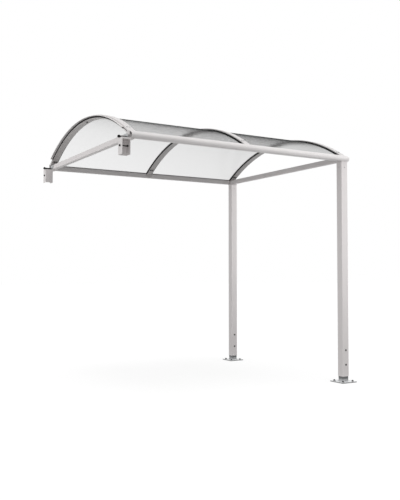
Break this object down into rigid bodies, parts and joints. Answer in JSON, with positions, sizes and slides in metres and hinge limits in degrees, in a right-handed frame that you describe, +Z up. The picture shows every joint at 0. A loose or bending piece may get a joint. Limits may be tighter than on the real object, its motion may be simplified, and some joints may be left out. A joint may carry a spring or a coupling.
{
  "type": "bike shelter extension bay",
  "caption": "Barrel-roofed bike shelter bay: translucent sheets on flat arch bars between round-nosed gutters, with bolt-down posts at one end and coupling heads at the other.",
  "frame": {"origin": "centre of the underside of the front foot's base plate, at ground level", "axes": "+X along the row of bays towards the post end, +Y from the front to the rear, +Z up"},
  "size_m": [2.618, 2.255, 2.6467],
  "materials": {
    "paint": "pale warm-grey powder coat, satin",
    "galvanised": "hot-dip galvanised, dull with a faint spangle",
    "rubber": "matt black",
    "sheet": "clear twin-wall sheet, glossy outside"
  },
  "bodies": {
    "root": {"front_foot": "galvanised", "rear_foot": "galvanised", "front_post": "paint", "rear_post": "paint", "front_right_head": "paint", "rear_right_head": "paint", "front_left_head": "paint", "rear_left_head": "paint", "front_joint_pad": "rubber", "rear_joint_pad": "rubber", "front_gutter": "paint", "rear_gutter": "paint", "front_gutter_cap": "paint", "rear_gutter_cap": "paint", "left_tie": "paint", "right_tie": "paint", "front_splice_plate": "galvanised", "rear_splice_plate": "galvanised", "left_arch": "paint", "middle_arch": "paint", "right_arch": "paint", "left_front_stop": "paint", "left_rear_stop": "paint", "middle_front_stop": "paint", "middle_rear_stop": "paint", "right_front_stop": "paint", "right_rear_stop": "paint", "left_lower_seal": "rubber", "middle_lower_seal": "rubber", "right_lower_seal": "rubber", "left_sheet": "sheet", "right_sheet": "sheet", "left_upper_seal": "rubber", "middle_upper_seal": "rubber", "right_upper_seal": "rubber", "left_strip": "paint", "middle_strip": "paint", "right_strip": "paint"}
  },
  "joints": []
}
